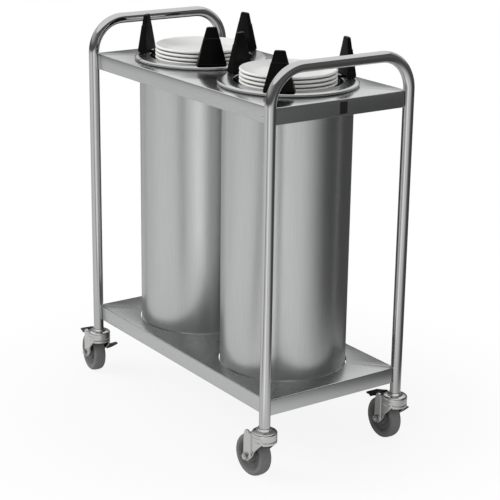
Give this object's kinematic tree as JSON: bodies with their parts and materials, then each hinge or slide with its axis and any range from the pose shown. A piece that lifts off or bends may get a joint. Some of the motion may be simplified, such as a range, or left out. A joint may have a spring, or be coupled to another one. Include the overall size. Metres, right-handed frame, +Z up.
{
  "type": "plate dispenser cart",
  "caption": "Wheeled stainless cart with self-levelling round plate wells between a deck and a base shelf, looped tube handles at both ends and black plate guides on each rim.",
  "frame": {"origin": "on the floor, under the middle of the part's box", "axes": "+X along the cart to the right-hand end, -Y towards the long front side, +Z up"},
  "size_m": [0.8727, 0.471, 0.9488],
  "materials": {
    "brushed_stainless": "brushed stainless sheet",
    "polished_tube": "polished stainless tube",
    "zinc_plate": "bright zinc plate",
    "spring_steel": "drawn spring wire",
    "black_nylon": "moulded black nylon",
    "glazed_china": "white glaze",
    "grey_rubber": "grey non-marking rubber",
    "grey_plastic": "grey moulded wheel centre"
  },
  "bodies": {
    "cart_frame": {"end_frame_left": "polished_tube", "end_frame_right": "polished_tube", "top_deck": "brushed_stainless", "base_shelf": "brushed_stainless", "well_shell_left": "brushed_stainless", "well_shell_right": "brushed_stainless", "well_rim_left": "brushed_stainless", "well_rim_right": "brushed_stainless", "well_foot_left": "brushed_stainless", "well_foot_right": "brushed_stainless", "plate_guide_left_1": "black_nylon", "plate_guide_left_2": "black_nylon", "plate_guide_left_3": "black_nylon", "plate_guide_right_1": "black_nylon", "plate_guide_right_2": "black_nylon", "plate_guide_right_3": "black_nylon", "lift_spring_left_1": "spring_steel", "lift_spring_left_2": "spring_steel", "lift_spring_left_3": "spring_steel", "lift_spring_right_1": "spring_steel", "lift_spring_right_2": "spring_steel", "lift_spring_right_3": "spring_steel", "caster_stem_left_front": "zinc_plate", "caster_stem_left_rear": "zinc_plate", "caster_stem_right_front": "zinc_plate", "caster_stem_right_rear": "zinc_plate"},
    "carrier_left": {"carrier_platform_left": "brushed_stainless", "carrier_frame_left": "zinc_plate", "plate_left_1": "glazed_china", "plate_left_2": "glazed_china", "plate_left_3": "glazed_china", "plate_left_4": "glazed_china"},
    "carrier_right": {"carrier_platform_right": "brushed_stainless", "carrier_frame_right": "zinc_plate", "plate_right_1": "glazed_china", "plate_right_2": "glazed_china", "plate_right_3": "glazed_china", "plate_right_4": "glazed_china"},
    "caster_left_front": {"fork_left_front": "zinc_plate", "axle_left_front": "zinc_plate"},
    "caster_left_rear": {"fork_left_rear": "zinc_plate", "axle_left_rear": "zinc_plate"},
    "caster_right_front": {"fork_right_front": "zinc_plate", "axle_right_front": "zinc_plate"},
    "caster_right_rear": {"fork_right_rear": "zinc_plate", "axle_right_rear": "zinc_plate"},
    "wheel_left_front": {"hub_left_front": "grey_plastic", "tyre_left_front": "grey_rubber"},
    "wheel_left_rear": {"hub_left_rear": "grey_plastic", "tyre_left_rear": "grey_rubber"},
    "wheel_right_front": {"hub_right_front": "grey_plastic", "tyre_right_front": "grey_rubber"},
    "wheel_right_rear": {"hub_right_rear": "grey_plastic", "tyre_right_rear": "grey_rubber"},
    "pedal_left_front": {"brake_pedal_left_front": "black_nylon"},
    "pedal_right_rear": {"brake_pedal_right_rear": "black_nylon"},
    "lever_left_front": {"brake_lever_left_front": "zinc_plate"},
    "lever_right_rear": {"brake_lever_right_rear": "zinc_plate"}
  },
  "joints": [
    {"name": "lift_left", "type": "slide", "parent": "cart_frame", "child": "carrier_left", "axis": [0, 0, 1], "range_m": [-0.46, 0], "stiffness_N_per_m": 550, "springref_m": 0.085, "deforming": ["lift_spring_left_1", "lift_spring_left_2", "lift_spring_left_3"]},
    {"name": "lift_right", "type": "slide", "parent": "cart_frame", "child": "carrier_right", "axis": [0, 0, 1], "range_m": [-0.46, 0], "stiffness_N_per_m": 550, "springref_m": 0.085, "deforming": ["lift_spring_right_1", "lift_spring_right_2", "lift_spring_right_3"]},
    {"name": "swivel_left_front", "type": "hinge", "parent": "cart_frame", "child": "caster_left_front", "pos_m": [-0.3389, -0.1994, 0.1], "axis": [0, 0, 1], "continuous": true},
    {"name": "swivel_left_rear", "type": "hinge", "parent": "cart_frame", "child": "caster_left_rear", "pos_m": [-0.3389, 0.1772, 0.1], "axis": [0, 0, 1], "continuous": true},
    {"name": "swivel_right_front", "type": "hinge", "parent": "cart_frame", "child": "caster_right_front", "pos_m": [0.4115, -0.1994, 0.1], "axis": [0, 0, 1], "continuous": true},
    {"name": "swivel_right_rear", "type": "hinge", "parent": "cart_frame", "child": "caster_right_rear", "pos_m": [0.4115, 0.1772, 0.1], "axis": [0, 0, 1], "continuous": true},
    {"name": "roll_left_front", "type": "hinge", "parent": "caster_left_front", "child": "wheel_left_front", "pos_m": [-0.37562, -0.19489, 0.05], "axis": [-0.1219, -0.9925, 0], "continuous": true},
    {"name": "roll_left_rear", "type": "hinge", "parent": "caster_left_rear", "child": "wheel_left_rear", "pos_m": [-0.3757, 0.17333, 0.05], "axis": [0.1045, -0.9945, 0], "continuous": true},
    {"name": "roll_right_front", "type": "hinge", "parent": "caster_right_front", "child": "wheel_right_front", "pos_m": [0.37459, -0.20198, 0.05], "axis": [0.0698, -0.9976, 0], "continuous": true},
    {"name": "roll_right_rear", "type": "hinge", "parent": "caster_right_rear", "child": "wheel_right_rear", "pos_m": [0.37452, 0.17849, 0.05], "axis": [-0.0349, -0.9994, 0], "continuous": true},
    {"name": "brake_left_front", "type": "hinge", "parent": "caster_left_front", "child": "pedal_left_front", "pos_m": [-0.37463, -0.19501, 0.1075], "axis": [-0.1219, -0.9925, 0], "range_deg": [0, 5]},
    {"name": "brake_right_rear", "type": "hinge", "parent": "caster_right_rear", "child": "pedal_right_rear", "pos_m": [0.37552, 0.17846, 0.1075], "axis": [-0.0349, -0.9994, 0], "range_deg": [0, 5]},
    {"name": "release_left_front", "type": "hinge", "parent": "caster_left_front", "child": "lever_left_front", "pos_m": [-0.36265, -0.1713, 0.07], "axis": [-0.9925, 0.1219, 0], "range_deg": [-25, 0]},
    {"name": "release_right_rear", "type": "hinge", "parent": "caster_right_rear", "child": "lever_right_rear", "pos_m": [0.38539, 0.20313, 0.07], "axis": [-0.9994, 0.0349, 0], "range_deg": [-25, 0]}
  ]
}
